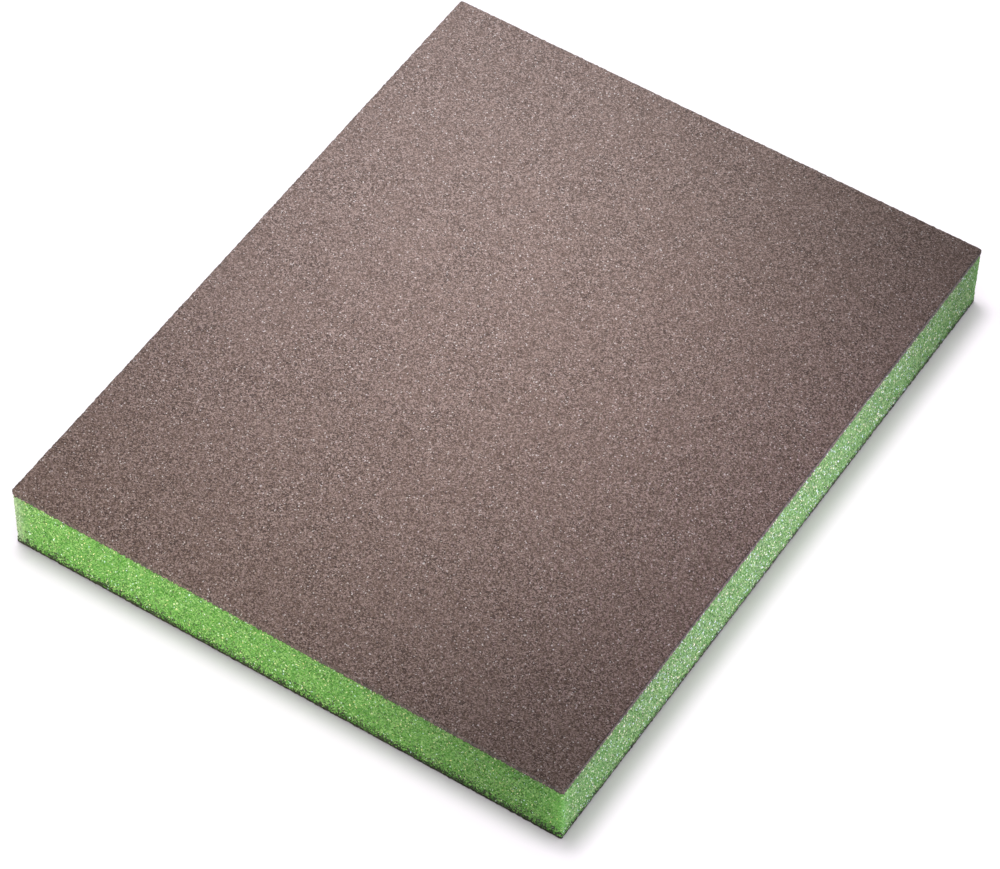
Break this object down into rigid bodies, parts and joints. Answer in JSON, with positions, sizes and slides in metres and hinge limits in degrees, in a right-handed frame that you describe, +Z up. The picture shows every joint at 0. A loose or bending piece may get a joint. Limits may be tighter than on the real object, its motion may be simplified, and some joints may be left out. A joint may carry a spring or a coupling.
{
  "type": "sanding block",
  "caption": "Flat hand sanding block: a rectangular open-cell foam pad with brown abrasive grit bonded to both large faces and bare green foam on its cut sides.",
  "frame": {"origin": "centre of the abrasive face that the block lies on, which is also the bottom centre of its box", "axes": "+Y along the long side, +X along the short side, +Z up through the thickness from the lower abrasive face to the upper one"},
  "size_m": [0.098, 0.123, 0.0125],
  "materials": {
    "foam": "matte",
    "bond_resin": "matte",
    "abrasive_grit": "matte"
  },
  "bodies": {
    "root": {"foam_core": "foam", "bottom_bond_coat": "bond_resin", "bottom_grit_coat": "abrasive_grit", "top_bond_coat": "bond_resin", "top_grit_coat": "abrasive_grit"}
  },
  "joints": []
}
